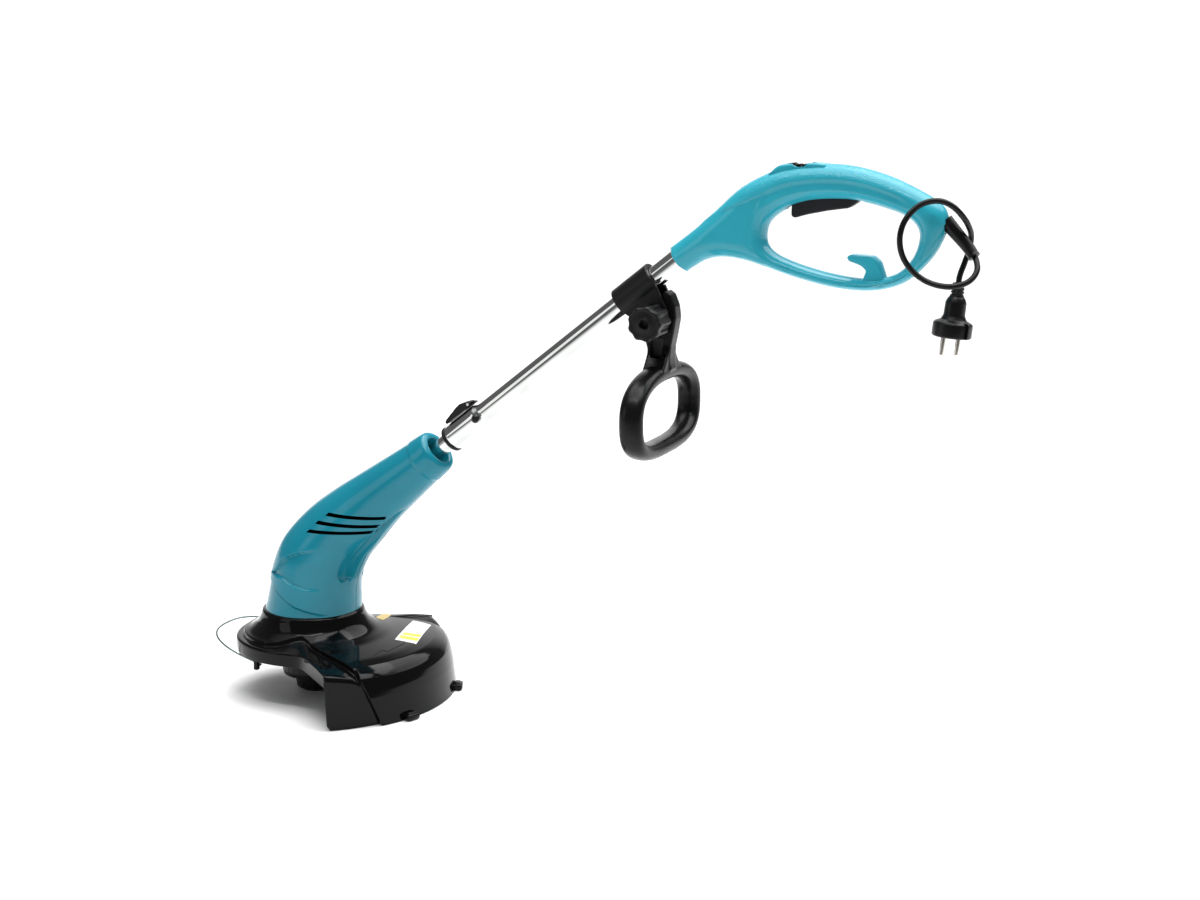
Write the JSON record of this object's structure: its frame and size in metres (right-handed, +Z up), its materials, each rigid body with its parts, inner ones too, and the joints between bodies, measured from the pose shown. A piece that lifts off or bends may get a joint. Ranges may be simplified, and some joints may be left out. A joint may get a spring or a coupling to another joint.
{
  "type": "string trimmer",
  "caption": "Corded electric grass trimmer: curved motor head and guard, telescopic tube, loop front handle, closed rear handle with trigger.",
  "frame": {"origin": "centre of the bump knob's flat underside, on the ground and on the spindle axis", "axes": "+X from the cutting head towards the rear handle, +Y to the operator's right, +Z up along the spindle"},
  "size_m": [0.8383, 0.243, 0.5905],
  "materials": {
    "teal_plastic": "glossy moulded",
    "black_gloss": "glossy moulded",
    "black_satin": "satin moulded",
    "black_rubber": "matt",
    "chrome_tube": "polished bright",
    "steel": "satin",
    "copper": "enamelled winding",
    "brass": "satin",
    "carbon": "matt",
    "nylon_line": "satin"
  },
  "bodies": {
    "motor_head": {"head_shell_left": "teal_plastic", "head_shell_right": "teal_plastic", "guard": "black_gloss", "wire_clip_left": "black_satin", "wire_clip_right": "black_satin", "line_blade": "steel", "blade_screw": "steel", "stator_core": "steel", "field_coil_left": "copper", "field_coil_right": "copper", "upper_bearing": "steel", "lower_bearing": "steel", "bearing_housing": "black_satin", "brush_holder_left": "black_satin", "brush_holder_right": "black_satin", "carbon_brush_left": "carbon", "carbon_brush_right": "carbon", "inner_tube": "chrome_tube"},
    "wire_guard": {"wire_guard": "steel"},
    "spool": {"motor_shaft": "steel", "armature_core": "steel", "commutator": "brass", "cooling_fan": "black_satin", "spool_housing": "black_satin", "line_spool": "black_satin", "wound_line": "nylon_line", "line_eyelet_a": "steel", "line_eyelet_b": "steel", "line_tail_a": "nylon_line", "line_tail_b": "nylon_line"},
    "bump_knob": {"bump_knob": "black_satin", "bump_spring": "steel"},
    "upper": {"outer_tube": "chrome_tube", "tube_bush": "black_satin", "tube_stop_screw": "black_satin", "lever_mount": "black_satin", "lever_pin": "steel", "handle_shell_left": "teal_plastic", "handle_shell_right": "teal_plastic", "trigger_pin": "steel", "switch_body": "black_satin", "strain_relief": "black_rubber", "cord": "black_rubber", "plug_body": "black_rubber", "plug_pin_a": "brass", "plug_pin_b": "brass"},
    "lock_lever": {"lock_lever": "black_satin"},
    "trigger": {"trigger": "black_satin", "trigger_spring": "steel"},
    "switch_plunger": {"switch_plunger": "steel"},
    "lock_off_button": {"lock_off_button": "black_satin", "lock_off_spring": "steel"},
    "clamp_bracket": {"clamp_bracket": "black_satin", "clamp_nut": "steel"},
    "front_handle": {"front_handle": "black_satin"},
    "clamp_knob": {"clamp_knob": "black_satin", "clamp_bolt": "steel"}
  },
  "joints": [
    {"name": "wire_guard_fold", "type": "hinge", "parent": "motor_head", "child": "wire_guard", "pos_m": [-0.03, 0, 0.04], "axis": [0, -1, 0], "range_deg": [0, 30]},
    {"name": "spool_spin", "type": "hinge", "parent": "motor_head", "child": "spool", "pos_m": [0, 0, 0.06], "axis": [0, 0, 1], "continuous": true},
    {"name": "bump_feed", "type": "slide", "parent": "spool", "child": "bump_knob", "axis": [0, 0, 1], "range_m": [0, 0.0035], "stiffness_N_per_m": 3000, "springref_m": -0.01, "deforming": ["bump_spring"]},
    {"name": "telescope", "type": "slide", "parent": "motor_head", "child": "upper", "axis": [0.7837, 0, 0.6212], "range_m": [0, 0.2]},
    {"name": "lock_lever_lift", "type": "hinge", "parent": "upper", "child": "lock_lever", "pos_m": [0.19634, 0, 0.33375], "axis": [0, 1, 0], "range_deg": [0, 95]},
    {"name": "trigger_pull", "type": "hinge", "parent": "upper", "child": "trigger", "pos_m": [0.604, 0, 0.5605], "axis": [0, 1, 0], "range_deg": [0, 8], "stiffness_Nm_per_rad": 1, "springref_deg": -5.73, "deforming": ["trigger_spring"]},
    {"name": "plunger_travel", "type": "slide", "parent": "upper", "child": "switch_plunger", "axis": [0, 0, 1], "range_m": [0, 0.0036]},
    {"name": "lock_off_press", "type": "slide", "parent": "upper", "child": "lock_off_button", "axis": [0, 0, -1], "range_m": [0, 0.004], "stiffness_N_per_m": 800, "springref_m": -0.003, "deforming": ["lock_off_spring"]},
    {"name": "bracket_slide", "type": "slide", "parent": "upper", "child": "clamp_bracket", "axis": [0.7837, 0, 0.6212], "range_m": [-0.15, 0.02]},
    {"name": "front_handle_tilt", "type": "hinge", "parent": "clamp_bracket", "child": "front_handle", "pos_m": [0.40802, 0, 0.43454], "axis": [0, 1, 0], "range_deg": [-15, 40]},
    {"name": "clamp_knob_turn", "type": "hinge", "parent": "clamp_bracket", "child": "clamp_knob", "pos_m": [0.40802, 0, 0.43454], "axis": [0, -1, 0], "continuous": true}
  ],
  "couplings": [
    {"joint": "plunger_travel", "follows": "trigger_pull", "m_per_rad": 0.024}
  ]
}
